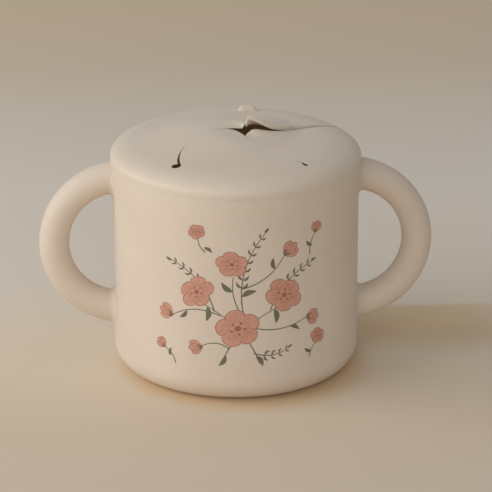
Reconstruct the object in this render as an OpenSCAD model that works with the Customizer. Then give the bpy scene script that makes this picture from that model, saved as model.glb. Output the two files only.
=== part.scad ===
// Toddler snack cup with a push-on lid.
// A soft silicone cup with two loop handles moulded onto its sides, and a silicone lid
// whose crown is cut by four curved slits into four flaps, so that a small hand pushes
// in past them and the snacks stay inside.
// Millimetres, +Z up. The origin is the centre of the base, on the surface that the cup
// stands on. +X runs through the handles and -Y is the front.

/* [Cup] */
// Outer radius of the cup's wall
cup_r = 42.25; // [38:0.05:48]
// Height of the shoulder that the lid's edge closes down to
shoulder_z = 74; // [66:0.5:86]
// Thickness of the cup's wall
cup_wall = 3.2; // [2.8:0.1:4]
// Thickness of the cup's floor
floor_t = 3.2; // [2:0.1:4]
// Radius of the rounded edge between the base and the wall
base_edge_r = 8.5; // [6:0.5:12]
// Radius of the shallow recess under the base
foot_recess_r = 28; // [20:0.5:29]
// Depth of the recess under the base
foot_recess_d = 0.8; // [0.4:0.1:1.2]

/* [Rim] */
// How far the rim's neck steps in from the cup's wall
neck_step = 1.5; // [1.2:0.1:1.7]
// Height of the neck above the shoulder
neck_h = 2.4; // [1.8:0.1:2.8]
// How far the sealing bead stands out of the neck
bead_out = 0.15; // [0.05:0.05:0.2]
// Radius of the sealing bead's section
bead_r = 0.5; // [0.3:0.1:0.6]

/* [Handles] */
// Radius of each handle's ring, along the middle of its tube
handle_ring_r = 24; // [20:0.5:25]
// Radius of the handle's tube
handle_tube_r = 5.3; // [4:0.1:6]
// How far the ring's centre lies inside the cup's wall
handle_inset = 3.55; // [1:0.05:8]
// Gap left between the top of a handle's root and the shoulder
handle_drop = 0.7; // [0.5:0.1:6]

/* [Lid] */
// How far the lid stands out past the cup's wall
lid_overhang = 0.75; // [0.3:0.05:1.2]
// Radius of the lid's rounded shoulder
lid_edge_r = 4.8; // [4.2:0.1:6]
// Rise of the lid's crown above its shoulder
crown_rise = 2.65; // [1.5:0.05:4]
// Thickness of the lid's crown
crown_t = 2.2; // [1.8:0.1:2.6]
// Thickness of the plug that hangs inside the cup's mouth
plug_t = 2; // [1.5:0.1:2.5]
// How far the plug reaches below the shoulder
plug_depth = 4; // [2:0.5:8]
// Running gap between the lid and the cup
fit_gap = 0.3; // [0.2:0.05:0.35]

/* [Flaps] */
// Radius of the curve that each slit follows
slit_r = 20.1; // [18.5:0.1:22]
// Width of the slits
slit_w = 0.6; // [0.5:0.05:0.9]
// Distance from the lid's middle to the far end of each slit
slit_reach = 32.1; // [30:0.1:33.5]
// Radius of the round hole that ends each slit
stop_hole_r = 1.2; // [0.8:0.1:1.8]
// Direction in which the front left slit ends, from +X
slit_end_angle = 225; // [215:1:235]
// Radius of the opening in the middle, where the flaps meet
eye_r = 1.2; // [0.6:0.1:2.5]
// Thickness of the flaps
flap_t = 2; // [1.4:0.1:2.2]
// Distance from the lid's middle to the line that each flap bends on
hinge_y = 17; // [15.5:0.25:17.5]
// Tilt in degrees at which the front, right, back and left flaps rest
flap_angles = [10, 6, 25, 10]; // [0:1:30]

/* [Hidden] */
$fn = 96;

cream = [0.91, 0.85, 0.77];
cream_lid = [0.90, 0.83, 0.75];
// facets on a circle so large that 96 would leave flats as deep as a wall's clearance
fine = 720;
// how far a cutting shape runs past what it cuts, and one solid into another it joins
over = 1;

// cup
cup_in_r = cup_r - cup_wall;
base_in_r = base_edge_r - cup_wall;
neck_r = cup_r - neck_step;
neck_wall = neck_r - cup_in_r;
rim_z = shoulder_z + neck_h;
handle_x = cup_r - handle_inset;
handle_out_r = handle_ring_r + handle_tube_r;
// half the height of a handle's root where it meets the wall
root_half = sqrt(handle_out_r * handle_out_r - handle_inset * handle_inset);
handle_z = shoulder_z - handle_drop - root_half;

// lid
lid_r = cup_r + lid_overhang;
lid_edge_z = shoulder_z + fit_gap;
groove_in_r = cup_in_r - fit_gap;
groove_out_r = neck_r + fit_gap;
groove_top_z = rim_z + fit_gap;
plug_in_r = groove_in_r - plug_t;
plug_z = shoulder_z - plug_depth;
// centre of the shoulder's rounding, and the crown's sphere, which leaves it smoothly
edge_x = lid_r - lid_edge_r;
crown_turn = 2 * atan(crown_rise / edge_x);
crown_r = lid_edge_r + edge_x / sin(crown_turn);
crown_z0 = lid_edge_z - edge_x / tan(crown_turn);
crown_top_z = crown_z0 + crown_r;

// flaps, as the front one lies before the wheel of slits is turned
slit_turn = 2 * asin(slit_reach / (2 * slit_r));
wheel_turn = slit_end_angle - (180 + slit_turn / 2);
hinge_left_x = -sqrt(slit_r * slit_r - (slit_r - hinge_y) * (slit_r - hinge_y));
hinge_right_x = slit_r - sqrt(slit_r * slit_r - hinge_y * hinge_y);
hinge_mid_x = (hinge_left_x + hinge_right_x) / 2;
// turns along the slit's curve: by how much its cut starts inside the flap's window, and where
tail_lap = 20;
tail_from = acos((slit_r - hinge_y) / slit_r) - tail_lap;
root_r = flap_t / 2;
// clear space round the root's right corner, which sweeps across the slit as it turns
corner_gap = root_r + slit_w;
hinge_z = crown_z0 + sqrt(crown_r * crown_r - hinge_y * hinge_y - hinge_mid_x * hinge_mid_x)
          - root_r;

// Half section of a round-bottomed tub: radius, its base edge's rounding, bottom and top
module tub_section(r, edge, bottom, top) {
    translate([0, bottom]) square([r - edge, top - bottom]);
    translate([0, bottom + edge]) square([r, top - bottom - edge]);
    translate([r - edge, bottom + edge]) circle(edge);
}

module cup_body() {
    color(cream) difference() {
        rotate_extrude() intersection() {
            translate([0, -over]) square([cup_r + over, rim_z + 2 * over]);
            difference() {
                union() {
                    tub_section(cup_r, base_edge_r, 0, shoulder_z);
                    translate([0, shoulder_z - over])
                        square([neck_r, neck_h + over - neck_wall / 2]);
                    translate([neck_r - neck_wall / 2, rim_z - neck_wall / 2])
                        circle(neck_wall / 2);
                    translate([neck_r + bead_out - bead_r, shoulder_z + neck_h / 2])
                        circle(bead_r);
                }
                tub_section(cup_in_r, base_in_r, floor_t, rim_z + over);
            }
        }
        translate([0, 0, -over]) cylinder(r = foot_recess_r, h = over + foot_recess_d);
    }
}

// One loop handle on the +X side: a ring of round section, cut to the cup's wall
module handle() {
    color(cream) difference() {
        translate([handle_x, 0, handle_z]) rotate([90, 0, 0])
            rotate_extrude() translate([handle_ring_r, 0]) circle(handle_tube_r);
        cylinder(r = cup_r, h = rim_z);
    }
}

module handle_right() handle();
module handle_left() rotate([0, 0, 180]) handle();

// Half section of the lid's outer form, above its lower edge
module lid_form() {
    intersection() {
        translate([0, lid_edge_z]) square([lid_r, crown_top_z - lid_edge_z + over]);
        union() {
            translate([edge_x, lid_edge_z]) circle(lid_edge_r);
            intersection() {
                translate([0, crown_z0]) circle(crown_r, $fn = fine);
                polygon([
                    [0, lid_edge_z], [edge_x, lid_edge_z],
                    [edge_x + 2 * lid_edge_r * sin(crown_turn),
                     lid_edge_z + 2 * lid_edge_r * cos(crown_turn)],
                    [0, crown_top_z + 2 * lid_edge_r]
                ]);
            }
        }
    }
}

// Half section of the whole lid: crown, skirt over the neck, and plug in the mouth
module lid_section() {
    difference() {
        union() {
            lid_form();
            translate([plug_in_r, plug_z + plug_t / 2])
                square([plug_t, lid_edge_z - plug_z]);
            translate([plug_in_r + plug_t / 2, plug_z + plug_t / 2]) circle(plug_t / 2);
        }
        // hollow under the crown
        intersection() {
            translate([0, crown_z0]) circle(crown_r - crown_t, $fn = fine);
            translate([0, plug_z - over]) square([plug_in_r, crown_top_z - plug_z]);
        }
        // groove that the neck stands in
        translate([groove_in_r, plug_z - over])
            square([groove_out_r - groove_in_r, groove_top_z - plug_z + over]);
    }
}

// Outline of one flap before it is turned to its place, grown by the given amount
module flap_outline(grow, root_y) {
    difference() {
        intersection() {
            translate([0, -slit_r]) circle(slit_r + grow);
            translate([-slit_r - over, -root_y]) square([2 * (slit_r + over), root_y + over]);
        }
        translate([slit_r, 0]) circle(slit_r - grow);
    }
}

// Direction along the slit's curve, seen from the curve's centre
function along(turn) = [-sin(turn), cos(turn)];

// The outer end of one slit, from beside the flap's root to its round hole
module slit_tail() {
    translate([0, -slit_r]) {
        difference() {
            intersection() {
                circle(slit_r + slit_w / 2);
                polygon([[0, 0], for (turn = [tail_from, 90, slit_turn])
                                     2 * slit_r * along(turn)]);
            }
            circle(slit_r - slit_w / 2);
        }
        translate(slit_r * along(slit_turn)) circle(stop_hole_r);
    }
}

module lid_ring() {
    color(cream_lid) difference() {
        rotate_extrude() lid_section();
        translate([0, 0, plug_z]) linear_extrude(crown_top_z - plug_z + over)
            for (turn = [0:90:270]) rotate(wheel_turn + turn) {
                flap_outline(slit_w / 2, hinge_y + root_r + fit_gap);
                slit_tail();
            }
        translate([0, 0, plug_z]) cylinder(r = eye_r, h = crown_top_z - plug_z + over);
    }
}

// One flap: a flat tongue on a round root that lies along the line it bends on
module flap(turn, lift) {
    color(cream_lid) rotate(wheel_turn + turn)
        translate([0, -hinge_y, hinge_z]) rotate([lift, 0, 0]) {
            linear_extrude(flap_t, center = true) difference() {
                translate([0, hinge_y]) flap_outline(-slit_w / 2, hinge_y);
                translate([0, hinge_y]) circle(eye_r);
                translate([hinge_right_x, 0]) circle(corner_gap);
            }
            translate([hinge_left_x + slit_w, 0, 0]) rotate([0, 90, 0])
                cylinder(r = root_r, h = hinge_right_x - corner_gap - hinge_left_x - slit_w);
        }
}

module flap_front() flap(0, flap_angles[0]);
module flap_right() flap(90, flap_angles[1]);
module flap_back() flap(180, flap_angles[2]);
module flap_left() flap(270, flap_angles[3]);

cup_body();
handle_left();
handle_right();
lid_ring();
flap_front();
flap_right();
flap_back();
flap_left();
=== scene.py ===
"""Looks of the toddler snack cup: soft silicone cup, two loop handles and a lid with four flaps."""

import logging
import math
from dataclasses import dataclass, field
from enum import Enum
from typing import Callable, Dict, List, Optional, Sequence, Tuple

import bpy
import numpy as np
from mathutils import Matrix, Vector


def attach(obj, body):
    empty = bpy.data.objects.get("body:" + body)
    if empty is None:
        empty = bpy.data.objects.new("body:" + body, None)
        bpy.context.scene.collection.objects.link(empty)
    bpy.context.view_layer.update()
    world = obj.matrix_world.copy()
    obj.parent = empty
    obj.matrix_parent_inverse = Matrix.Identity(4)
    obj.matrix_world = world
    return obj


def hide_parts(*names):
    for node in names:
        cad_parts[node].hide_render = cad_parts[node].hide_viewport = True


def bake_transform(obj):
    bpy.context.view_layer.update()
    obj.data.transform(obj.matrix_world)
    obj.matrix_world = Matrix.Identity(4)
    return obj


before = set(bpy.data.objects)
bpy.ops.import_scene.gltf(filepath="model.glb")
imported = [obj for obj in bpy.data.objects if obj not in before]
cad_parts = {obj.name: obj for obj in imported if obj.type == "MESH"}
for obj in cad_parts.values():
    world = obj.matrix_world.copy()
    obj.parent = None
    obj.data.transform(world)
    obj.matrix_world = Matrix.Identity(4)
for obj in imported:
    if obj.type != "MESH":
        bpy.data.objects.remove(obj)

LOG = logging.getLogger("snack_cup")
MM = 0.001
TINY = 1e-6
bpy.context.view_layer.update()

Array = np.ndarray
Color = Tuple[float, float, float, float]
Pair = Tuple[float, float]
Span = Pair
Spot = Pair


# ------------------------------------------------------------------ meshes


@dataclass(frozen=True)
class Grid:
    """A surface as rows and columns of points in millimetres, closed along its columns if wrap is set."""

    points: Array
    wrap: bool = False


def grid_quads(ids: Array) -> Array:
    """The quads between a grid's point numbers, four numbers per face."""
    corners = (ids[:-1, :-1], ids[:-1, 1:], ids[1:, 1:], ids[1:, :-1])
    return np.stack(corners, axis=-1).reshape(-1, 4)


def border(grid: Array) -> Array:
    """The points on a grid's border, once round."""
    return np.concatenate([grid[:, 0], grid[-1, 1:], grid[-2::-1, -1], grid[0, -2:0:-1]])


def slab(face: Array, back: Array) -> List[Grid]:
    """A closed slab between two grids: its face, its back turned round, and the side between them."""
    side = np.stack([border(face), border(back)])
    return [Grid(face), Grid(back[:, ::-1]), Grid(side, True)]


def weld_points(points: Array, faces: Array, step: float = 1e-4) -> Tuple[Array, Array]:
    """Merges points that lie on the same spot.

    Args:
        points: Points in millimetres, one per row.
        faces: Four point numbers per face.
        step: Distance in millimetres under which two points are the same.

    Returns:
        The merged points, and the faces with their new point numbers.
    """
    keys = np.round(points / step).astype(np.int64)
    _, first, inverse = np.unique(keys, axis=0, return_index=True, return_inverse=True)
    return points[first], inverse.reshape(-1)[faces]


def split_faces(faces: Array) -> Tuple[Array, Array]:
    """Sorts quads by how many of their corners fell together: none gives a quad, one gives a triangle.

    Args:
        faces: Four point numbers per face.

    Returns:
        The whole quads, and the triangles left of the quads with one short side.
    """
    short = faces == np.roll(faces, -1, axis=1)
    count = short.sum(axis=1)
    tris = faces[count == 1][~short[count == 1]].reshape(-1, 3)
    return faces[count == 0], tris


def signed_volume(points: Array, quads: Array, tris: Array) -> float:
    """Sixth of the sum of each triangle's triple product, which is positive if faces point outwards.

    Args:
        points: Points, one per row.
        quads: Four point numbers per face.
        tris: Three point numbers per face.

    Returns:
        The volume inside the faces.
    """
    corners = np.concatenate([quads[:, [0, 1, 2]], quads[:, [0, 2, 3]], tris])
    a, b, c = (points[corners[:, i]] for i in range(3))
    return float(np.einsum("ij,ij->i", a, np.cross(b, c)).sum() / 6)


def add_object(name: str, data: bpy.types.ID) -> bpy.types.Object:
    """Puts a new object into the scene, at the origin.

    Args:
        name: Name of the object.
        data: Its mesh, light or camera.

    Returns:
        The object.
    """
    item = bpy.data.objects.new(name, data)
    bpy.context.scene.collection.objects.link(item)
    return item


def build_object(name: str, grids: Sequence[Grid], finish: bpy.types.Material,
                 sharp: float = 40.0) -> bpy.types.Object:
    """Joins grids into one mesh object whose faces point outwards.

    Args:
        name: Name of the piece.
        grids: The surfaces, whose shared borders have the same points.
        finish: Material of the piece.
        sharp: Angle in degrees from which an edge is shown as an edge.

    Returns:
        The new object, at the origin, with its place in its mesh.
    """
    points, faces, base = [], [], 0
    for grid in grids:
        rows, cols = grid.points.shape[:2]
        ids = base + np.arange(rows * cols).reshape(rows, cols)
        faces.append(grid_quads(np.hstack([ids, ids[:, :1]]) if grid.wrap else ids))
        points.append(grid.points.reshape(-1, 3))
        base += rows * cols
    co, quads = weld_points(np.concatenate(points), np.concatenate(faces))
    quads, tris = split_faces(quads)
    if signed_volume(co, quads, tris) < 0:
        quads, tris = quads[:, ::-1], tris[:, ::-1]
    totals = np.repeat([4, 3], [len(quads), len(tris)])
    mesh = bpy.data.meshes.new(name)
    mesh.vertices.add(len(co))
    mesh.vertices.foreach_set("co", (co * MM).ravel())
    mesh.loops.add(int(totals.sum()))
    mesh.loops.foreach_set("vertex_index", np.concatenate([quads.ravel(), tris.ravel()]))
    mesh.polygons.add(len(totals))
    mesh.polygons.foreach_set("loop_start", np.cumsum(totals) - totals)
    mesh.polygons.foreach_set("loop_total", totals)
    mesh.update(calc_edges=True)
    mesh.validate()
    mesh.shade_smooth()
    mesh.set_sharp_from_angle(angle=math.radians(sharp))
    mesh.materials.append(finish)
    return add_object(name, mesh)


def smooth_step(span: Span, value: Array) -> Array:
    """Cubic 3 t² - 2 t³ that rises from 0 at a span's first end to 1 at its second, level at both.

    Args:
        span: Where the rise starts and ends.
        value: Where it is wanted.

    Returns:
        The height of the cubic, from 0 to 1.
    """
    low, high = span
    t = np.clip((value - low) / (high - low), 0.0, 1.0)
    return t * t * (3.0 - 2.0 * t)


def fade(span: Span, value: Array) -> Array:
    """One less the smooth step, so that it falls from 1 to 0 over the span."""
    return 1.0 - smooth_step(span, value)


def fillet_path(corners: Sequence[Tuple[float, float, float]], steps: int = 8) -> Array:
    """A line through corners, each rounded by an arc that touches both its sides.

    Args:
        corners: Place along two axes, and the arc's radius, of each corner in turn.
        steps: Number of pieces in each arc.

    Returns:
        The line's points, one per row.
    """
    spots = np.array([c[:2] for c in corners], float)
    out: List[Array] = [spots[:1]]
    for before, here, after, (_, _, radius) in zip(spots, spots[1:], spots[2:], corners[1:-1]):
        if radius <= 0:
            out.append(here[None])
            continue
        to_a = (before - here) / np.linalg.norm(before - here)
        to_b = (after - here) / np.linalg.norm(after - here)
        half = 0.5 * math.acos(float(np.clip(to_a @ to_b, -1.0, 1.0)))
        middle = here + (to_a + to_b) / np.linalg.norm(to_a + to_b) * radius / math.sin(half)
        start, end = (here + d * radius / math.tan(half) - middle for d in (to_a, to_b))
        turn = math.pi - 2.0 * half
        t = np.linspace(0.0, 1.0, steps + 1)[:, None]
        arc = (np.sin((1.0 - t) * turn) * start + np.sin(t * turn) * end) / math.sin(turn)
        out.append(middle + arc)
    out.append(spots[-1:])
    return np.concatenate(out)


def refine(path: Array, longest: float) -> Array:
    """Adds even points to a line's long pieces.

    Args:
        path: The line's points, one per row.
        longest: Length that no piece of the new line is over.

    Returns:
        The line with the points added.
    """
    gaps = np.linalg.norm(np.diff(path, axis=0), axis=1)
    counts = np.maximum(1, np.ceil(gaps / longest)).astype(int)
    starts = np.repeat(np.arange(len(gaps)), counts)
    share = np.concatenate([np.arange(n) / n for n in counts])[:, None]
    inner = path[starts] * (1.0 - share) + path[starts + 1] * share
    return np.concatenate([inner, path[-1:]])


def full_turn(count: int) -> Array:
    """Even angles over a full turn, without its end."""
    return np.arange(count) * 2.0 * math.pi / count


def revolve(profile: Array, a: Array) -> Array:
    """Turns a half section round the Z axis: x = r cos a, y = r sin a.

    Args:
        profile: Radius and height of each point in turn.
        a: Angle of each column.

    Returns:
        Points by profile row and by angle column.
    """
    r, z = profile[:, :1], profile[:, 1:]
    return np.stack([r * np.cos(a), r * np.sin(a), z + 0.0 * a], axis=-1)


# --------------------------------------------------------------- materials


def linear(code: str) -> Color:
    """Turns an sRGB hex colour to linear by the standard's own curve.

    Args:
        code: The colour, such as "#d8c6b0".

    Returns:
        Linear red, green and blue, and a full alpha.
    """
    parts = np.array([int(code[i:i + 2], 16) / 255.0 for i in (1, 3, 5)])
    lin = np.where(parts <= 0.04045, parts / 12.92, ((parts + 0.055) / 1.055) ** 2.4)
    return float(lin[0]), float(lin[1]), float(lin[2]), 1.0


def spans(source: Span, target: Span = (0.0, 1.0)) -> Dict[str, float]:
    """Values of a Map Range node's inputs that carry one span to another."""
    return dict(zip(("From Min", "From Max", "To Min", "To Max"), source + target))


@dataclass
class NodeTree:
    """A material's nodes, with one way to add a node."""

    material: bpy.types.Material
    principled: bpy.types.Node = field(init=False)

    def __post_init__(self) -> None:
        """Turns nodes on and finds the surface shader."""
        self.material.use_nodes = True
        self.principled = self.material.node_tree.nodes["Principled BSDF"]

    def add(self, kind: str, values: Optional[Dict[object, object]] = None,
            links: Optional[Dict[object, bpy.types.NodeSocket]] = None,
            **settings: object) -> bpy.types.Node:
        """Adds one node.

        Args:
            kind: Blender's name of the node type.
            values: Default value of each named or numbered input.
            links: Output that feeds each named or numbered input.
            settings: Properties of the node itself.

        Returns:
            The new node.
        """
        node = self.material.node_tree.nodes.new(kind)
        for key, value in settings.items():
            setattr(node, key, value)
        for key, value in (values or {}).items():
            node.inputs[key].default_value = value
        for key, output in (links or {}).items():
            self.material.node_tree.links.new(output, node.inputs[key])
        return node

    def feed(self, socket: str, output: bpy.types.NodeSocket) -> None:
        """Links an output to an input of the surface shader."""
        self.material.node_tree.links.new(output, self.principled.inputs[socket])

    def set(self, **values: object) -> None:
        """Sets the surface shader's own inputs, with _ for each space in their names."""
        for key, value in values.items():
            self.principled.inputs[key.replace("_", " ")].default_value = value


@dataclass(frozen=True)
class Silicone:
    """Food-grade silicone, compression moulded in a fine-blasted mould.

    That gives a soft matte skin with a faint velvety sheen, a grain as fine as an eggshell's, a
    little light under the surface, and tone that drifts slightly over a hand's breadth.
    """

    name: str
    body: str = "#dacbba"
    deep: str = "#d6c6b4"
    cloud_mm: float = 38.0
    cloud_span: Span = (0.35, 0.65)
    grain_mm: float = 0.9
    grain_deep_mm: float = 0.03
    fleck_span: Span = (0.3, 0.7)
    fleck_tones: Span = (0.975, 1.02)
    roughness: float = 0.56
    rough_spread: float = 0.06
    ior: float = 1.41
    sheen: float = 0.10
    soak: float = 0.2
    glow_mm: float = 2.4
    glow_reach: Tuple[float, float, float] = (1.0, 0.62, 0.42)

    def make(self) -> bpy.types.Material:
        """Builds the material; the grain is drawn coarser than the real 0.1 mm so that it shows.

        Returns:
            The material.
        """
        tree = NodeTree(bpy.data.materials.new(self.name))
        place = tree.add("ShaderNodeTexCoord").outputs["Object"]
        cloud = tree.add("ShaderNodeTexNoise", {"Scale": 1.0 / (self.cloud_mm * MM), "Detail": 3.0},
                         {"Vector": place})
        grain = tree.add("ShaderNodeTexNoise", {"Scale": 1.0 / (self.grain_mm * MM), "Detail": 4.0,
                                                "Roughness": 0.6}, {"Vector": place}).outputs["Fac"]
        tone = tree.add("ShaderNodeMapRange", spans(self.cloud_span), {"Value": cloud.outputs["Fac"]})
        skin = tree.add("ShaderNodeMix", {6: linear(self.deep), 7: linear(self.body)},
                        {0: tone.outputs["Result"]}, data_type="RGBA")
        fleck = tree.add("ShaderNodeMapRange", spans(self.fleck_span, self.fleck_tones),
                         {"Value": grain})
        shade = tree.add("ShaderNodeVectorMath", None,
                         {0: skin.outputs[2], "Scale": fleck.outputs["Result"]}, operation="SCALE")
        spread = (self.roughness - self.rough_spread, self.roughness + self.rough_spread)
        rough = tree.add("ShaderNodeMapRange", spans((0.0, 1.0), spread), {"Value": grain})
        bump = tree.add("ShaderNodeBump", {"Strength": 0.25, "Distance": self.grain_deep_mm * MM},
                        {"Height": grain})
        tree.feed("Base Color", shade.outputs["Vector"])
        tree.feed("Roughness", rough.outputs["Result"])
        tree.feed("Normal", bump.outputs["Normal"])
        tree.set(IOR=self.ior, Sheen_Weight=self.sheen, Sheen_Roughness=0.45,
                 Subsurface_Weight=self.soak, Subsurface_Scale=self.glow_mm * MM,
                 Subsurface_Radius=self.glow_reach)
        return tree.material


@dataclass(frozen=True)
class PrintInk:
    """Silicone ink, pad-printed in one thin coat on the moulded wall.

    That gives a flat matte tone with the slight unevenness of a hand-inked fill.
    """

    name: str
    light: str
    dark: str
    patch_mm: float = 1.6
    patch_span: Span = (0.32, 0.68)
    coat_mm: float = 0.02
    roughness: float = 0.6
    ior: float = 1.41
    sheen: float = 0.05

    def make(self) -> bpy.types.Material:
        """Builds the material: two near tones in soft patches, and the coat's own fine grain.

        Returns:
            The material.
        """
        tree = NodeTree(bpy.data.materials.new(self.name))
        place = tree.add("ShaderNodeTexCoord").outputs["Object"]
        wash = tree.add("ShaderNodeTexNoise", {"Scale": 1.0 / (self.patch_mm * MM), "Detail": 5.0,
                                               "Roughness": 0.65}, {"Vector": place}).outputs["Fac"]
        spread = tree.add("ShaderNodeMapRange", spans(self.patch_span), {"Value": wash})
        tone = tree.add("ShaderNodeMix", {6: linear(self.dark), 7: linear(self.light)},
                        {0: spread.outputs["Result"]}, data_type="RGBA")
        bump = tree.add("ShaderNodeBump", {"Strength": 0.15, "Distance": self.coat_mm * MM},
                        {"Height": wash})
        tree.feed("Base Color", tone.outputs[2])
        tree.feed("Normal", bump.outputs["Normal"])
        tree.set(Roughness=self.roughness, IOR=self.ior, Sheen_Weight=self.sheen)
        return tree.material


@dataclass(frozen=True)
class PaperSweep:
    """Uncoated background paper, rolled out under and behind the cup.

    That gives a dead matte ground with a faint tooth. Its tones along Y, darker near and far and
    lighter between, paint the fall of the light; a painted contact shade darkens and warms it round
    the cup's foot, and a painted shadow darkens and warms it in the cup's shadow. Places are in metres.
    """

    name: str = "background_paper"
    # Painted light: the tones are darker near and far and lighter between, matching how the light falls
    # over floor and backdrop rather than the paper's own colour.
    tones: Tuple[Tuple[float, str], ...] = (
        (-0.107, "#d8c7b2"), (-0.063, "#d9c7b0"), (-0.038, "#dccbb4"), (-0.012, "#e2d2bb"),
        (0.030, "#e5d6c1"), (0.074, "#e3d7c8"), (0.172, "#e2d8cb"), (0.246, "#ddd2c4"),
        (0.286, "#dbcebc"), (0.328, "#d8c7b2"), (0.420, "#d8c5aa"),
    )
    grain_mm: float = 10.0 / 9.0
    grain_deep_mm: float = 0.05
    roughness: float = 0.85
    shine: float = 0.2
    # Painted contact shade: the paper is multiplied darker and warmer in a ring round the cup's foot,
    # standing in for the cup's shade and the light it throws back.
    painted_contact_shade_tint: str = "#fcefdb"
    painted_contact_shade_at: Tuple[float, float, float] = (0.003, -0.005, 0.0)
    painted_contact_shade_span: Span = (0.038, 0.0455)
    # Painted shadow: a patch to the cup's right is multiplied darker and warmer where the cup's cast shadow
    # falls.
    shade_tint: str = "#f4e8d5"
    shade_edges: Tuple[Tuple[str, Span], ...] = (
        ("Y", (0.049, 0.043)), ("Y", (-0.004, 0.022)), ("X", (0.020, 0.045)), ("X", (0.118, 0.080)),
    )

    def shade(self, tree: NodeTree, parts: bpy.types.Node) -> bpy.types.NodeSocket:
        """The share of paper that lies in the cup's shadow: the product of four smooth straight edges.

        Args:
            tree: The material's nodes.
            parts: The node that splits the place into X and Y.

        Returns:
            The product, 1 well inside the patch and 0 outside it.
        """
        patch = None
        for axis, across in self.shade_edges:
            edge = tree.add("ShaderNodeMapRange", spans(across), {"Value": parts.outputs[axis]},
                            interpolation_type="SMOOTHSTEP").outputs["Result"]
            patch = edge if patch is None else tree.add(
                "ShaderNodeMath", None, {0: patch, 1: edge}, operation="MULTIPLY").outputs[0]
        return patch

    def make(self) -> bpy.types.Material:
        """Builds the material: a run of tones along Y that paints the light's fall, a painted contact shade
        at the cup's foot, a painted shadow, and a faint grain.

        Returns:
            The material.
        """
        tree = NodeTree(bpy.data.materials.new(self.name))
        place = tree.add("ShaderNodeTexCoord").outputs["Object"]
        parts = tree.add("ShaderNodeSeparateXYZ", None, {0: place})
        start, end = self.tones[0][0], self.tones[-1][0]
        depth = tree.add("ShaderNodeMapRange", spans((start, end)), {"Value": parts.outputs["Y"]})
        ramp = tree.add("ShaderNodeValToRGB", None, {0: depth.outputs["Result"]})
        stops = ramp.color_ramp.elements
        stops[0].color, stops[1].color = linear(self.tones[0][1]), linear(self.tones[-1][1])
        for y, code in self.tones[1:-1]:
            stops.new((y - start) / (end - start)).color = linear(code)
        grain = tree.add("ShaderNodeTexNoise", {"Scale": 1.0 / (self.grain_mm * MM), "Detail": 3.0},
                         {"Vector": place})
        bump = tree.add("ShaderNodeBump", {"Strength": 0.1, "Distance": self.grain_deep_mm * MM},
                        {"Height": grain.outputs["Fac"]})
        # Painted contact shade round the cup's foot, multiplied over the tones.
        away = tree.add("ShaderNodeVectorMath", {1: self.painted_contact_shade_at}, {0: place}, operation="DISTANCE")
        near = tree.add("ShaderNodeMapRange", spans(self.painted_contact_shade_span, (1.0, 0.0)),
                        {"Value": away.outputs["Value"]})
        tint = {"data_type": "RGBA", "blend_type": "MULTIPLY"}
        contact_shaded = tree.add("ShaderNodeMix", {7: linear(self.painted_contact_shade_tint)},
                        {0: near.outputs["Result"], 6: ramp.outputs["Color"]}, **tint)
        # Painted shadow of the cup, multiplied over the contact shade.
        dim = tree.add("ShaderNodeMix", {7: linear(self.shade_tint)},
                       {0: self.shade(tree, parts), 6: contact_shaded.outputs[2]}, **tint)
        tree.feed("Base Color", dim.outputs[2])
        tree.feed("Normal", bump.outputs["Normal"])
        tree.set(Roughness=self.roughness, Specular_IOR_Level=self.shine)
        return tree.material


# ------------------------------------------------------------------- sizes


@dataclass(frozen=True)
class CupSizes:
    """Sizes of the cup and its lid in millimetres, the same as the frame's own, and the wall's flare."""

    cup_r: float = 42.25
    shoulder_z: float = 74.0
    cup_wall: float = 3.2
    floor_t: float = 3.2
    base_edge_r: float = 8.5
    foot_recess_r: float = 28.0
    foot_recess_d: float = 0.8
    neck_step: float = 1.5
    neck_h: float = 2.4
    bead_out: float = 0.15
    bead_r: float = 0.5
    handle_ring_r: float = 24.0
    handle_tube_r: float = 5.3
    handle_inset: float = 3.55
    handle_drop: float = 0.7
    lid_overhang: float = 0.75
    crown_t: float = 2.2
    plug_t: float = 2.0
    plug_depth: float = 4.0
    fit_gap: float = 0.3
    slit_r: float = 20.1
    slit_reach: float = 32.1
    slit_end_angle: float = 225.0
    flap_t: float = 2.0
    hinge_y: float = 17.0
    flare: float = 0.70
    flare_from: float = 58.0

    @property
    def cup_in_r(self) -> float:
        """Inner radius of the cup."""
        return self.cup_r - self.cup_wall

    @property
    def neck_r(self) -> float:
        """Outer radius of the rim's neck."""
        return self.cup_r - self.neck_step

    @property
    def rim_z(self) -> float:
        """Height of the rim."""
        return self.shoulder_z + self.neck_h

    @property
    def handle_x(self) -> float:
        """Distance of a handle ring's centre from the axis."""
        return self.cup_r - self.handle_inset

    @property
    def handle_z(self) -> float:
        """Height of a handle ring's centre."""
        reach = self.handle_ring_r + self.handle_tube_r
        return self.shoulder_z - self.handle_drop - math.sqrt(reach ** 2 - self.handle_inset ** 2)

    @property
    def lid_r(self) -> float:
        """Outer radius of the lid."""
        return self.cup_r + self.lid_overhang

    @property
    def lid_edge_z(self) -> float:
        """Height at which the lid's dome rests on its skirt."""
        return self.shoulder_z + self.fit_gap

    @property
    def wheel_turn(self) -> float:
        """Angle, in radians, by which the wheel of slits is turned."""
        slit_turn = 2.0 * math.asin(self.slit_reach / (2.0 * self.slit_r))
        return math.radians(self.slit_end_angle) - math.pi - slit_turn / 2.0

    def wall_r(self, z: Array) -> Array:
        """Outer radius of the cup at a height, which swells by a smooth step towards the shoulder."""
        return self.cup_r + self.flare * smooth_step((self.flare_from, self.shoulder_z), z)


# --------------------------------------------------------------------- cup


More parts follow.
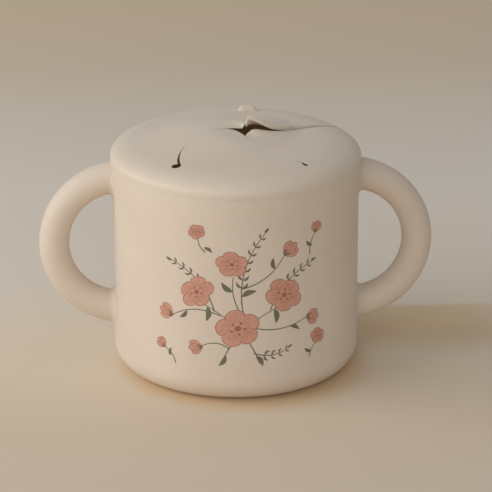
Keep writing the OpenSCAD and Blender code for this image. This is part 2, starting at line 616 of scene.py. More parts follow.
@dataclass(frozen=True)
class CupBody:
    """The cup: a turned wall on a rounded base, with a neck and a bead for the lid to grip."""

    sizes: CupSizes
    segments: int = 224
    wall_rows: int = 56
    base_steps: int = 14
    longest: float = 2.5
    above_base: float = 1.0
    under_shoulder: float = 0.4
    foot_slope: float = 0.45
    foot_rounds: Pair = (0.35, 0.5)
    shoulder_round: float = 0.01
    neck_round: float = 0.2
    bead_rounds: Pair = (0.1, 0.4)
    rim_fullness: float = 0.98

    def wall_path(self) -> Array:
        """The outer wall's line, from over the base's rounding to just under the shoulder.

        Returns:
            Radius and height of each point in turn.
        """
        s = self.sizes
        z = np.linspace(s.base_edge_r + self.above_base, s.shoulder_z - self.under_shoulder, self.wall_rows)
        return np.stack([s.wall_r(z), z], axis=1)

    def profile(self) -> Array:
        """The half section, from the middle of the underside out and over the rim to the inner floor.

        Returns:
            Radius and height of each point in turn.
        """
        s = self.sizes
        inner, outer = self.foot_rounds
        under = fillet_path([(0.0, s.foot_recess_d, 0.0), (s.foot_recess_r, s.foot_recess_d, inner),
                             (s.foot_recess_r + self.foot_slope, 0.0, outer),
                             (s.cup_r, 0.0, s.base_edge_r),
                             (s.cup_r, s.base_edge_r + self.above_base, 0.0)], self.base_steps)
        top_r, bead_z = s.cup_r + s.flare, s.shoulder_z + s.neck_h / 2.0
        rim = (s.neck_r - s.cup_in_r) / 2.0 * self.rim_fullness
        foot, crest = self.bead_rounds
        lip = fillet_path([(top_r, s.shoulder_z - self.under_shoulder, 0.0),
                           (top_r, s.shoulder_z, self.shoulder_round),
                           (s.neck_r, s.shoulder_z, self.neck_round),
                           (s.neck_r, bead_z - s.bead_r, foot), (s.neck_r + s.bead_out, bead_z, crest),
                           (s.neck_r, bead_z + s.bead_r, foot), (s.neck_r, s.rim_z, rim),
                           (s.cup_in_r, s.rim_z, rim),
                           (s.cup_in_r, s.floor_t, s.base_edge_r - s.cup_wall), (0.0, s.floor_t, 0.0)])
        return np.concatenate([refine(under, self.longest), self.wall_path(), refine(lip, self.longest)])

    def build(self, finish: bpy.types.Material) -> bpy.types.Object:
        """Makes the cup in place of its plain solid.

        Args:
            finish: The silicone.

        Returns:
            The finished piece.
        """
        skin = Grid(revolve(self.profile(), full_turn(self.segments)), wrap=True)
        piece = build_object("cup_shell", [skin], finish)
        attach(piece, "cup")
        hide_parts("cup_body")
        return piece


class Side(Enum):
    """The two sides that carry a handle, with the sign of X there."""

    RIGHT = 1.0
    LEFT = -1.0


@dataclass(frozen=True)
class LoopHandle:
    """A round loop whose two ends flare into the cup's wall."""

    sizes: CupSizes
    side: Side
    slimmer: float = 0.1
    root_growth: float = 0.35
    fillet: float = 2.4
    top_fillet: float = 0.3
    top_span: Span = (-0.1, 0.75)
    proud: float = 0.01
    sunk: float = 0.8
    around: int = 64
    along: int = 96
    blend_rows: int = 12

    def tube_r(self, share: Array) -> Array:
        """The tube's radius at a share of the way from the loop's outside, 0, to a root, 1."""
        return self.sizes.handle_tube_r - self.slimmer + self.root_growth * np.abs(share) ** 3

    def torus(self, turn: Array, v: Array, tube: Array) -> Array:
        """A point of the loop: its ring turns from +X towards +Z, and v goes round the tube.

        Args:
            turn: Angle along the ring.
            v: Angle round the tube, 0 on the outer side.
            tube: Radius of the tube there.

        Returns:
            Points with x out of the cup, y to the side and z up.
        """
        s = self.sizes
        reach = s.handle_ring_r + tube * np.cos(v)
        return np.stack([s.handle_x + reach * np.cos(turn), tube * np.sin(v),
                         s.handle_z + reach * np.sin(turn)], axis=-1)

    def wall_spot(self, arc: Array, z: Array) -> Array:
        """A point a hair proud of the cup's wall: x = r cos(arc / r), y = r sin(arc / r).

        Args:
            arc: Arc length from the +X side.
            z: Height.

        Returns:
            The points.
        """
        r = self.sizes.wall_r(z) + self.proud
        a = arc / self.sizes.cup_r
        return np.stack([r * np.cos(a), r * np.sin(a), z], axis=-1)

    def root(self, upper: bool, v: Array) -> Tuple[Array, Array]:
        """The flare at one root: a quadratic curve from the tube to the wall for each angle round it.

        The curve leaves the tube along its side, aims at where the tube would meet the wall, and
        lands on the wall level with it. The upper root's outer side is tight instead.

        Args:
            upper: Whether this is the loop's upper end.
            v: Angles round the tube.

        Returns:
            The ring angle at which the tube gives way to the flare, and the flare's points by row.
        """
        s = self.sizes
        sign = 1.0 if upper else -1.0
        tube = self.tube_r(np.ones_like(v))
        reach = s.handle_ring_r + tube * np.cos(v)
        wall_x = np.sqrt(s.cup_r ** 2 - (tube * np.sin(v)) ** 2)
        meet = sign * np.arccos((wall_x - s.handle_x) / reach)
        corner = self.torus(meet, v, tube)
        soft = np.full_like(v, self.fillet)
        if upper:
            soft = soft + (self.top_fillet - self.fillet) * smooth_step(self.top_span, np.cos(v))
        leave = meet - sign * soft / reach
        start = self.torus(leave, v, tube)
        arc = s.cup_r * np.arctan2(corner[:, 1], corner[:, 0])
        middle_z = s.handle_z + sign * math.sqrt(s.handle_ring_r ** 2 - s.handle_inset ** 2)
        away = np.stack([arc, corner[:, 2] - middle_z], axis=-1)
        away /= np.linalg.norm(away, axis=-1, keepdims=True)
        land = self.wall_spot(arc + away[:, 0] * soft, corner[:, 2] + away[:, 1] * soft)
        t = np.linspace(0.0, 1.0, self.blend_rows)[:, None, None]
        curve = (1 - t) ** 2 * start + 2 * t * (1 - t) * corner + t * t * land
        inward = 1.0 - self.sunk / s.cup_r
        under = land * np.array([inward, inward, 1.0])
        heart = np.broadcast_to(under.mean(axis=0), under.shape)
        return leave, np.concatenate([curve[1:], under[None], heart[None]])

    def build(self, finish: bpy.types.Material) -> bpy.types.Object:
        """Makes the handle in place of its plain solid.

        Args:
            finish: The silicone.

        Returns:
            The finished piece.
        """
        v = full_turn(self.around)
        high, top_rows = self.root(True, v)
        low, bottom_rows = self.root(False, v)
        share = np.linspace(-1.0, 1.0, self.along)[:, None]
        turn = np.where(share > 0, share * high, -share * low)
        loop = self.torus(turn, v, self.tube_r(share))
        rows = np.concatenate([bottom_rows[::-1], loop, top_rows])
        rows = rows * np.array([self.side.value, self.side.value, 1.0])
        name = self.side.name.lower()
        piece = build_object(f"handle_loop_{name}", [Grid(rows, wrap=True)], finish)
        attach(piece, "cup")
        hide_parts(f"handle_{name}")
        return piece


# --------------------------------------------------------------------- lid


class FlapSpot(Enum):
    """Where a flap lies, as its number in the wheel counted from the front, anticlockwise from above.

    A slit has the number of the flap that lies anticlockwise of it.
    """

    FRONT = 0
    RIGHT = 1
    BACK = 2
    LEFT = 3


@dataclass(frozen=True)
class LidForm:
    """The shape that the lid's ring and flaps share: a soft dome cut by a wheel of four curved slits.

    Polar angle and radius are those of the moulded lid. Soft silicone doesn't stay as moulded, so
    every point is then moved: the middle swells and drifts, and the back flap stands up along the
    slit at its right, where the skin folds from the slit's middle out to the shoulder.
    """

    sizes: CupSizes
    seam_r: float = 36.0
    skirt_h: float = 1.3
    dome_h: float = 6.3
    swell: float = 2.9
    swell_r: float = 27.0
    swell_at: Spot = (-6.0, 1.0)
    drift: Spot = (3.2, 1.5)
    drift_span: Span = (12.0, 36.0)
    fold_from: Spot = (17.4, 6.3)
    fold_to: Spot = (38.0, 17.3)
    fold_r: float = 18.5
    fold_early: float = 2.5
    fold_late: float = 0.5
    fold_soft: float = 0.4
    crease: float = 1.5
    reach_turn: float = 1.2
    left_span: Span = (0.25, 1.75)
    tip_lift: float = 3.0
    tip_span: Span = (0.5, 11.0)
    back_lift: float = 1.1
    back_span: Span = (9.0, 25.0)
    tuck: float = 0.7
    tuck_soft: float = 1.5
    tuck_rise: float = 2.0
    tuck_span: Span = (36.0, 42.0)
    stand: float = 0.4
    stand_span: Span = (28.0, 42.0)
    sink: float = 0.32
    sink_reach: float = 7.0
    sink_start: Span = (3.0, 10.0)
    sink_end: Span = (20.0, 36.0)
    knuckle_at: Spot = (4.7, 29.0)
    knuckle_rise: float = 1.9
    knuckle_half: Tuple[float, float, float] = (2.7, 3.2, 0.95)
    end_turns: Tuple[float, ...] = (5.7, -5.3, 0.0, 0.0)
    stray_span: Span = (10.0, 30.0)

    def slit_angle(self, r: Array, number: int) -> Array:
        """Polar angle of a slit's line at a radius: its own turn plus asin(r / (2 R)), R its own radius.

        Args:
            r: Radii.
            number: The slit's number, anticlockwise from above.

        Returns:
            The angles, which go a little astray where the skin is stretched.
        """
        s = self.sizes
        reach = np.minimum(r, s.slit_reach)
        stray = math.radians(self.end_turns[number % 4]) * smooth_step(self.stray_span, r)
        turn = s.wheel_turn + math.pi * (1.0 + number / 2.0)
        return turn + np.arcsin(reach / (2.0 * s.slit_r)) + stray

    def past_slit(self, x: Array, y: Array, number: int, behind: float = math.pi) -> Array:
        """Angle by which a point lies anticlockwise of a slit.

        Args:
            x: Place along X.
            y: Place along Y.
            number: The slit's number.
            behind: Angle behind the slit up to which a point counts as clockwise of it.

        Returns:
            The angles, less than zero behind the slit.
        """
        turn = np.arctan2(y, x) - self.slit_angle(np.hypot(x, y), number)
        return (turn + behind) % (2.0 * math.pi) - behind

    def crown(self, x: Array, y: Array) -> Array:
        """Height of the moulded dome over a point: its edge's height plus H sqrt(1 - (r / R)^4)."""
        share = np.clip(np.hypot(x, y) / self.sizes.lid_r, 0.0, 1.0)
        return self.sizes.lid_edge_z + self.skirt_h + self.dome_h * np.sqrt(1.0 - share ** 4)

    def back_rise(self, r: Array) -> Array:
        """Height by which the back flap's right side stands up of its own, by radius."""
        return self.tip_lift * fade(self.tip_span, r) + self.back_lift * fade(self.back_span, r)

    def knuckle(self, x: Array, y: Array) -> Array:
        """Height of the lid's raised nub: a short bar, h exp(-(u^6 + v^4)), longer to the right.

        Args:
            x: Place along X.
            y: Place along Y.

        Returns:
            The height.
        """
        left, right, deep = self.knuckle_half
        across = (x - self.knuckle_at[0]) / np.where(x < self.knuckle_at[0], left, right)
        along = (y - self.knuckle_at[1]) / deep
        return self.knuckle_rise * np.exp(-across ** 6 - along ** 4)

    @property
    def fold_run(self) -> Array:
        """Unit direction of the fold's line, outwards."""
        run = np.subtract(self.fold_to, self.fold_from)
        return run / np.hypot(*run)

    def across_fold(self, x: Array, y: Array) -> Array:
        """Distance by which a point lies behind the fold's line, negative in front of it."""
        run = self.fold_run
        return run[0] * (y - self.fold_from[1]) - run[1] * (x - self.fold_from[0])

    def behind_fold(self, off: Array) -> Array:
        """Share of the way over the fold's soft line, by the distance behind it."""
        return smooth_step((-self.fold_soft, self.fold_soft), off)

    def standing(self, x: Array, y: Array) -> Array:
        """Height by which the skin stands up round the back flap, over a point outside of it.

        It is greatest along the slit at the back flap's right and fades over the flap's width, past
        its left slit, towards the shoulder, and in front of the fold, where the skin sinks a little.

        Args:
            x: Place along X.
            y: Place along Y.

        Returns:
            The height.
        """
        r = np.hypot(x, y)
        turn = self.past_slit(x, y, FlapSpot.BACK.value)
        off = self.across_fold(x, y)
        past = smooth_step((self.fold_r - self.fold_early, self.fold_r + self.fold_late), r)
        behind = past * self.behind_fold(off)
        across = np.where(turn < 0.0, behind, fade(self.left_span, turn))
        near = turn > -self.reach_turn
        within = fade(self.stand_span, r)
        before = np.where(r < self.fold_r, -turn * r, -off)
        front = fade((0.0, self.sink_reach), before) * (1.0 - behind) * (turn < 0.0)
        low = self.sink * front * smooth_step(self.sink_start, r) * fade(self.sink_end, r)
        groove = self.crease * past * within * np.exp(-((off + self.fold_soft) / self.fold_soft) ** 2)
        rise = self.stand * within * across + self.back_rise(r) * behind * (turn < 0.0)
        return (rise - low - groove * (turn < self.reach_turn)) * near

    def tucked(self, x: Array, y: Array) -> Tuple[Array, Array]:
        """Shift by which the skin behind the fold leans out over the skin before it.

        Args:
            x: Place along X.
            y: Place along Y.

        Returns:
            The shift along X and along Y.
        """
        run, r, off = self.fold_run, np.hypot(x, y), self.across_fold(x, y)
        near = np.abs(self.past_slit(x, y, FlapSpot.BACK.value)) < self.reach_turn
        past = smooth_step((self.fold_r, self.fold_r + self.tuck_rise), r)
        within = past * near * fade(self.tuck_span, r)
        lean = self.behind_fold(off) * np.exp(-(np.maximum(off, 0.0) / self.tuck_soft) ** 2)
        amount = self.tuck * within * lean
        return amount * run[1], -amount * run[0]

    def settle(self, x: Array, y: Array) -> Array:
        """Shift of the whole skin at a point: swell (1 - d²/D²)², drift, the fold's tuck and the nub.

        Args:
            x: Place along X.
            y: Place along Y.

        Returns:
            The shift along X, Y and Z.
        """
        off = np.hypot(x - self.swell_at[0], y - self.swell_at[1])
        rise = self.swell * np.clip(1.0 - (off / self.swell_r) ** 2, 0.0, 1.0) ** 2
        rise = rise + self.knuckle(x, y)
        drag = fade(self.drift_span, np.hypot(x, y))
        tuck_x, tuck_y = self.tucked(x, y)
        return np.stack([self.drift[0] * drag + tuck_x, self.drift[1] * drag + tuck_y, rise], axis=-1)

    def skin(self, x: Array, y: Array, depth: Array, bend: Callable[[Array, Array], Array]) -> Array:
        """A point of the lid's plate: the dome at (x, y), moved, then sunk by depth.

        Args:
            x: Moulded place along X.
            y: Moulded place along Y.
            depth: Distance under the top face.
            bend: Height that the point's own part adds.

        Returns:
            The points.
        """
        flat = np.stack([x, y, self.crown(x, y) + bend(x, y) - depth], axis=-1)
        return flat + self.settle(x, y)


@dataclass(frozen=True)
class LidRing:
    """The ring round the flaps: the outer dome down to the lower edge, and the plug inside the cup."""

    form: LidForm
    fine_turn: Span = (10.0, 45.0)
    fine: int = 130
    segments: int = 340
    dome_rows: int = 34
    under_rows: int = 6
    arc_steps: int = 6
    longest: float = 2.0
    short_of_level: float = 0.02
    lower_edge: float = 0.01
    edge_rounds: Pair = (0.01, 0.3)
    groove_round: float = 0.5
    plug_fullness: float = 0.49

    def angles(self) -> Array:
        """Angles of the columns, which lie closer together over the fold.

        Returns:
            The angles in radians, once round.
        """
        start, end = self.fine_turn
        runs = ((start, end, self.fine), (end, start + 360.0, self.segments))
        return np.concatenate([np.linspace(math.radians(p), math.radians(q), n, endpoint=False)
                               for p, q, n in runs])

    def skirt(self) -> Array:
        """Half section of the skirt, the groove for the rim and the plug, down, in and up again.

        Returns:
            Radius and height of each point in turn.
        """
        s, form = self.form.sizes, self.form
        low, groove_z = s.shoulder_z + self.lower_edge, s.rim_z + s.fit_gap
        groove_in, groove_out = s.cup_in_r - s.fit_gap, s.neck_r + s.fit_gap
        plug_in, plug_z, plug_round = groove_in - s.plug_t, s.shoulder_z - s.plug_depth, self.plug_fullness
        outer, inner = self.edge_rounds
        corners = [(s.lid_r, s.lid_edge_z + form.skirt_h, 0.0), (s.lid_r, low, outer),
                   (groove_out, low, inner), (groove_out, groove_z, self.groove_round),
                   (groove_in, groove_z, self.groove_round), (groove_in, plug_z, s.plug_t * plug_round),
                   (plug_in, plug_z, s.plug_t * plug_round),
                   (plug_in, float(form.crown(plug_in, 0.0)) - s.crown_t, 0.0)]
        return refine(fillet_path(corners, self.arc_steps), self.longest)

    def build(self, finish: bpy.types.Material) -> bpy.types.Object:
        """Makes the ring in place of its plain solid.

        Args:
            finish: The silicone.

        Returns:
            The finished piece.
        """
        s, form, a = self.form.sizes, self.form, self.angles()
        inner, outer = math.asin((form.seam_r / s.lid_r) ** 2), math.pi / 2.0 - self.short_of_level
        dome_r = (s.lid_r * np.sqrt(np.sin(np.linspace(inner, outer, self.dome_rows))))[:, None]
        skirt = self.skirt()
        under_r = np.linspace(skirt[-1, 0], form.seam_r, self.under_rows)[:, None]
        dome, under = (form.skin(r * np.cos(a), r * np.sin(a), np.full((len(r), len(a)), depth),
                                 form.standing) for r, depth in ((dome_r, 0.0), (under_r, s.crown_t)))
        rows = np.concatenate([dome, revolve(skirt[:-1], a), under, dome[:1]])
        piece = build_object("lid_shell", [Grid(rows, wrap=True)], finish)
        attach(piece, "lid")
        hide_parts("lid_ring")
        return piece


@dataclass(frozen=True)
class SlitEnd:
    """How open a slit is: half its width when shut, how much it gapes at either end, and its round hole."""

    half: float = 0.004
    mouth: float = 0.0
    gape: float = 0.0
    hole: float = 0.15
    reach: float = 32.1
    from_r: float = 21.0


SLITS = (SlitEnd(gape=0.75, hole=1.6, reach=33.6), SlitEnd(gape=0.7, hole=0.85, reach=34.4, from_r=27.5),
         SlitEnd(mouth=0.36), SlitEnd())


@dataclass(frozen=True)
class Tip:
    """How a flap's tip rests.

    Its two sides stand some way above the skin round it, the tip is rounded, so are its edges, and
    its underside tapers towards the tip by some share of the thickness. The back flap's first side
    has no lift here, because the lid's form already stands it up.
    """

    first: float
    second: float
    round_r: float
    edge_r: float
    taper: float


TIPS = {FlapSpot.FRONT: Tip(-0.7, -0.8, 8.2, 0.15, 0.5), FlapSpot.RIGHT: Tip(-1.0, 0.0, 6.0, 0.25, 0.4),
        FlapSpot.BACK: Tip(0.0, 0.9, 2.0, 0.35, 0.15), FlapSpot.LEFT: Tip(0.9, -0.2, 1.6, 0.2, 0.72)}


@dataclass(frozen=True)
class LidFlap:
    """One quarter of the dome's middle: a curved tongue that bends up or down from its root."""

    form: LidForm
    spot: FlapSpot
    rows: int = 64
    columns: int = 96
    tip_rows: int = 18
    hole_rows: int = 33
    lip_columns: int = 7
    side_span: Span = (0.1, 1.45)
    lift_span: Span = (3.0, 14.0)
    stand_span: Span = (1.0, 8.0)
    mouth_span: Span = (13.0, 22.0)
    hole_run: float = 0.5
    point_gap: float = 1e-3
    edge: float = 0.004
    soft_span: Span = (9.0, 17.0)
    deepest: float = 0.45
    thin: float = 0.85
    thin_span: Span = (0.2, 5.0)
    taper_span: Span = (3.0, 26.0)
    hinge_half: float = 3.0

    def bend(self, x: Array, y: Array) -> Array:
        """The flap's own height at rest: that of the skin round it, and a lift that grows to its tip.

        Args:
            x: Place along X.
            y: Place along Y.

        Returns:
            The height.
        """
        r, form, tip = np.hypot(x, y), self.form, TIPS[self.spot]
        side = smooth_step(self.side_span, form.past_slit(x, y, self.spot.value, math.pi / 4.0))
        near = fade(self.lift_span, r)
        if self.spot is FlapSpot.BACK:
            level = 1.0 - side * smooth_step(self.stand_span, r)
            stand = form.stand * fade(form.stand_span, r) * level
            return form.back_rise(r) * (1.0 - side) + tip.second * side * near + stand
        return (tip.first * (1.0 - side) + tip.second * side) * near + form.standing(x, y)

    def side_angle(self, r: Array, slit: SlitEnd) -> Array:
        """Angle from the flap's middle line to its edge along one slit.

        It is an eighth of a turn less the slit's half width, and less the round hole's half chord
        where the slit ends; at the tip it follows a circle that touches both slits.

        Args:
            r: Radii.
            slit: The slit on that side.

        Returns:
            The angles.
        """
        gape = slit.half + slit.gape * smooth_step((slit.from_r, slit.reach), r)
        gape = gape + slit.mouth * fade(self.mouth_span, r)
        line = gape * fade((slit.reach, slit.reach + self.hole_run * slit.hole), r)
        hole = np.sqrt(np.clip(slit.hole ** 2 - (r - slit.reach) ** 2, 0.0, None))
        plain = math.pi / 4.0 - np.maximum(line, hole) / r
        tip_r = TIPS[self.spot].round_r
        ratio = (r * r + tip_r ** 2) / (2.0 * math.sqrt(2.0) * r * tip_r)
        tip = np.arccos(np.clip(ratio, -1.0, 1.0))
        return np.where(r < tip_r, np.minimum(tip, plain), plain)

    def radii(self) -> Array:
        """Radii of the rows: close together at the tip and round the slits' end holes.

        Returns:
            The radii, from the tip out to the seam with the ring.
        """
        reach, hole, tip_r = SLITS[0].reach, SLITS[0].hole, TIPS[self.spot].round_r
        first = tip_r * (math.sqrt(2.0) - 1.0) + self.point_gap
        tip = first + (tip_r - first) * (1.0 - np.cos(np.linspace(0.0, math.pi / 2.0, self.tip_rows)))
        middle = np.linspace(tip_r, reach - hole, self.rows)[1:-1]
        around = reach - hole * np.cos(np.linspace(0.0, math.pi, self.hole_rows))
        return np.concatenate([tip, middle, around, [self.form.seam_r]])

    def edge_round(self, r: Array) -> Array:
        """Rounding of the cut edges by radius: crisp where a slit is shut, soft where it stands open."""
        return self.edge + TIPS[self.spot].edge_r * fade(self.soft_span, r)

    def thinning(self, x: Array, y: Array) -> Array:
        """Share of the thickness that is relieved from below, at the tip and beside the end holes.

        Args:
            x: Place along X.
            y: Place along Y.

        Returns:
            The share.
        """
        r = np.hypot(x, y)
        total = TIPS[self.spot].taper * fade(self.taper_span, r)
        for number in (self.spot.value, (self.spot.value + 1) % 4):
            slit = SLITS[number]
            turn = float(self.form.slit_angle(np.array(slit.reach), number))
            off = np.hypot(x - slit.reach * math.cos(turn), y - slit.reach * math.sin(turn))
            near = fade((slit.hole + self.thin_span[0], slit.hole + self.thin_span[1]), off)
            near = near * fade((slit.reach, slit.reach + slit.hole), r)
            total = np.maximum(total, self.thin * near)
        return total

    def plan(self) -> Tuple[Array, Array, Array]:
        """Rows of radii by columns of angles, and each point's distance from the nearest cut edge.

        Returns:
            Place along X, place along Y, and distance from an edge.
        """
        r = self.radii()[:, None]
        edge = self.edge_round(r)
        number = self.spot.value
        near, far = SLITS[number], SLITS[(number + 1) % 4]
        start, end = self.form.slit_angle(r, number), self.form.slit_angle(r, number + 1)
        middle, eighth = (start + end) / 2.0, math.pi / 4.0
        stretch = (end - start) / 2.0 / eighth
        low = middle - self.side_angle(r, near) * stretch
        high = middle + self.side_angle(r, far) * stretch
        width = r * (high - low)
        lip = edge * (1.0 - np.cos(np.linspace(0.0, math.pi / 2.0, self.lip_columns)[:-1]))
        inner, rim = (np.minimum(part / np.maximum(width, TINY), 0.5) for part in (edge, lip))
        body = inner + (1.0 - 2.0 * inner) * np.linspace(0.0, 1.0, self.columns)
        share = np.concatenate([rim, body, 1.0 - rim[:, ::-1]], axis=1)
        angle = low + share * (high - low)
        away = np.minimum(np.minimum(share, 1.0 - share) * width, r - r[0, 0])
        return r * np.cos(angle), r * np.sin(angle), away

    def build(self, finish: bpy.types.Material) -> bpy.types.Object:
        """Makes the flap in place of its plain solid, in its rest shape.

        The cut edge's drop is a quarter circle, e (1 - sqrt(1 - (1 - d / e)²)), at a distance d.

        Args:
            finish: The silicone.

        Returns:
            The finished piece.
        """
        s, form = self.form.sizes, self.form
        x, y, away = self.plan()
        r = np.hypot(x, y)
        edge = self.edge_round(r)
        inside = np.clip(away / edge, 0.0, 1.0)
        drop = edge * (1.0 - np.sqrt(1.0 - (1.0 - inside) ** 2))
        drop = np.where(r > SLITS[0].reach + SLITS[0].hole - TINY, 0.0, drop)
        kept = 1.0 - self.thinning(x, y)
        drop = np.minimum(drop, self.deepest * s.flap_t * kept)
        top = form.skin(x, y, drop, self.bend)
        bottom = form.skin(x, y, s.flap_t * kept - drop, self.bend)
        name = self.spot.name.lower()
        piece = build_object(f"{name}_tongue", slab(top, bottom), finish)
        height = np.array([0.0, 0.0, float(form.crown(0.0, s.hinge_y))])
        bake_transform(piece)
        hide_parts(f"flap_{name}")
        return piece


# ------------------------------------------------------------------- print


@dataclass(frozen=True)
class InkShape:
    """One flat ink shape: a grid, whether its columns close on themselves, and how far it is raised."""

    flat: Array
    closed: bool = False
    over: float = 0.0

    def facing(self) -> Array:
        """The grid, with its columns turned round if its signed area is negative.

        Returns:
            The grid, facing out of the wall.
        """
        grid = np.hstack([self.flat, self.flat[:, :1]]) if self.closed else self.flat
        one, two = grid[1:, 1:] - grid[:-1, :-1], grid[1:, :-1] - grid[:-1, 1:]
        area = (one[..., 0] * two[..., 1] - one[..., 1] * two[..., 0]).sum()
        return self.flat if area > 0.0 else self.flat[:, ::-1]


@dataclass(frozen=True)
class InkLayer:
    """Flat ink shapes on the cup's wall, each a thin slab that stands a hair proud of it."""

    name: str
    slot: str
    height: float
    sizes: CupSizes
    sunk: float = 0.12

    def wrap(self, flat: Array, height: float) -> Array:
        """Lays flat points on the wall: x = r sin(u / r), y = -r cos(u / r), z = v.

        Args:
            flat: Points with u, the arc length from the middle of the front, and v, the height.
            height: Distance out of the wall.

        Returns:
            The points on the wall.
        """
        u, v = flat[..., 0] / self.sizes.cup_r, flat[..., 1]
        r = self.sizes.wall_r(v) + height
        return np.stack([r * np.sin(u), -r * np.cos(u), v], axis=-1)

    def surfaces(self, shape: InkShape) -> List[Grid]:
        """A closed slab over one flat shape: its face, its back in the wall and the side between.

        Args:
            shape: The shape.

        Returns:
            The slab's surfaces.
        """
        flat = shape.facing()
        face, back = self.wrap(flat, self.height + shape.over), self.wrap(flat, -self.sunk)
        if shape.closed:
            return [Grid(face, True), Grid(back[::-1], True), Grid(np.stack([face[-1], back[-1]]), True)]
        return slab(face, back)

    def build(self, shapes: Sequence[InkShape], finish: bpy.types.Material) -> bpy.types.Object:
        """Makes one layer.

        Args:
            shapes: The flat shapes.
            finish: The ink.

        Returns:
            The finished piece.
        """
        grids = [grid for shape in shapes for grid in self.surfaces(shape)]
        piece = build_object(self.name, grids, finish)
        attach(piece, "cup")
        return piece


def rotate(flat: Array, degrees: float) -> Array:
    """Turns flat points anticlockwise about zero."""
    c, s = math.cos(math.radians(degrees)), math.sin(math.radians(degrees))
    return flat @ np.array([[c, s], [-s, c]])


def ribbon(path: Array, width: float, taper: float) -> Array:
    """A flat line of ink along a path, thinner at its end.

    Args:
        path: Flat points along the middle.
        width: Width at the start.
        taper: Share of the width that is left at the end.

    Returns:
        A grid with a row per point and two columns.
    """
    run = np.gradient(path, axis=0)
    run /= np.linalg.norm(run, axis=1, keepdims=True)
    side = np.stack([-run[:, 1], run[:, 0]], axis=1)
    half = 0.5 * width * np.linspace(1.0, taper, len(path))[:, None]
    return np.stack([path - side * half, path + side * half], axis=1)


@dataclass(frozen=True)
class Blade:
    """A leaf or petal on its own axis, from its foot: a half width w sin(pi t^p)^q about a bowed rib.

    Its power p sets how far out it is widest, and its bow is a share of its length.
    """

    length: float
    width: float
    power: float
    fullness: float
    bow: float = 0.0
    rows: int = 21
    columns: int = 9
    vein_steps: int = 9

    def spot(self, t: Array, v: Array) -> Array:
        """A flat point: x = t L, y = 4 b L t (1 - t) + v w sin(pi t^p)^q.

        Args:
            t: Share of the length.
            v: Place across, from -0.5 to 0.5.

        Returns:
            The flat points.
        """
        half = self.width * np.sin(math.pi * np.clip(t, 0.0, 1.0) ** self.power) ** self.fullness
        rib = self.bow * self.length * 4.0 * t * (1.0 - t)
        return np.stack([t * self.length, rib + v * half], axis=-1)

    def shape(self) -> Array:
        """The whole blade as a grid along and across."""
        t, v = np.linspace(0.0, 1.0, self.rows), np.linspace(-0.5, 0.5, self.columns)
        return self.spot(*np.meshgrid(t, v, indexing="ij"))

    def ink(self, at: Array, degrees: float, over: float = 0.0) -> InkShape:
        """The whole blade with its foot at a flat point, turned, and raised over other shapes."""
        return InkShape(rotate(self.shape(), degrees) + at, over=over)

    def vein(self, v: float, start: float, end: float) -> Array:
        """A line up the blade at a constant place across it."""
        t = np.linspace(start, end, self.vein_steps)
        return self.spot(t, np.full(self.vein_steps, v))


def petal(length: float, width: float, widest: float = 0.66, fullness: float = 0.62) -> Blade:
    """A round-ended petal, widest two thirds of the way out unless told otherwise."""
    return Blade(length, width, math.log(0.5) / math.log(widest), fullness)


def leaf(length: float, width: float, bow: float = 0.12) -> Blade:
    """A pointed leaf, a little bowed, with fewer points than a petal."""
    return Blade(length, width, power=0.85, fullness=0.9, bow=bow, rows=13, columns=5)


@dataclass(frozen=True)
class Flower:
    """Place and pose of one open flower in the print.

    Its breadth, its dots' size and place, and its disc are shares of its radius. The lines, and the
    hair's breadths by which one shape lies over another, are in millimetres.
    """

    at: Spot
    radius: float
    turn: float
    squash: float
    tilt: float
    count: int = 5
    breadth: float = 0.86
    outline: float = 0.23
    vein: float = 0.18
    vein_end: float = 0.45
    vein_from: float = 0.34
    veins: Tuple[Pair, ...] = ((-0.26, 0.62), (-0.09, 0.78), (0.09, 0.7), (0.26, 0.76))
    dot: float = 0.14
    dot_widest: float = 0.5
    dot_at: float = 0.24
    disc: float = 0.15
    disc_columns: int = 24
    step: float = 0.008
    under: float = 0.004
    top: float = 0.06
    vein_over: float = 0.4
    rings: int = 3

    def place(self, flat: Array, number: float) -> Array:
        """Turns a petal's flat points to its number's place in the flower, squashed and tilted."""
        flat = rotate(flat, self.turn + 360.0 / self.count * number) * np.array([1.0, self.squash])
        return rotate(flat, self.tilt) + np.array(self.at)

    def petals(self) -> List[InkShape]:
        """The fill of the petals, each a hair over the one before."""
        fill = petal(self.radius, self.breadth * self.radius).shape()
        return [InkShape(self.place(fill, k), over=self.step * k) for k in range(self.count)]

    def lines(self) -> List[InkShape]:
        """The outline under each petal, its veins, and the flower's middle with its ring of dots.

        Returns:
            The shapes.
        """
        width, size = self.breadth * self.radius, self.dot * self.radius
        fill = petal(self.radius, width)
        wide = petal(self.radius + self.outline, width + 2.0 * self.outline)
        dot = petal(size, size, self.dot_widest).shape() + np.array([self.dot_at * self.radius, 0.0])
        out = []
        for k in range(self.count):
            out.append(InkShape(self.place(wide.shape(), k), over=self.step * (k - 0.5) - self.under))
            for v, end in self.veins:
                vein = ribbon(self.place(fill.vein(v, self.vein_from, end), k), self.vein, self.vein_end)
                out.append(InkShape(vein, over=self.step * (k + self.vein_over)))
            out.append(InkShape(self.place(dot, k + 0.5), over=self.top))
        a = full_turn(self.disc_columns)
        rings = np.linspace(0.0, 1.0, self.rings)[:, None, None]
        disc = self.disc * self.radius * rings * np.stack([np.cos(a), np.sin(a)], -1)
        out.append(InkShape(self.place(disc, 0), True, self.top))
        return out


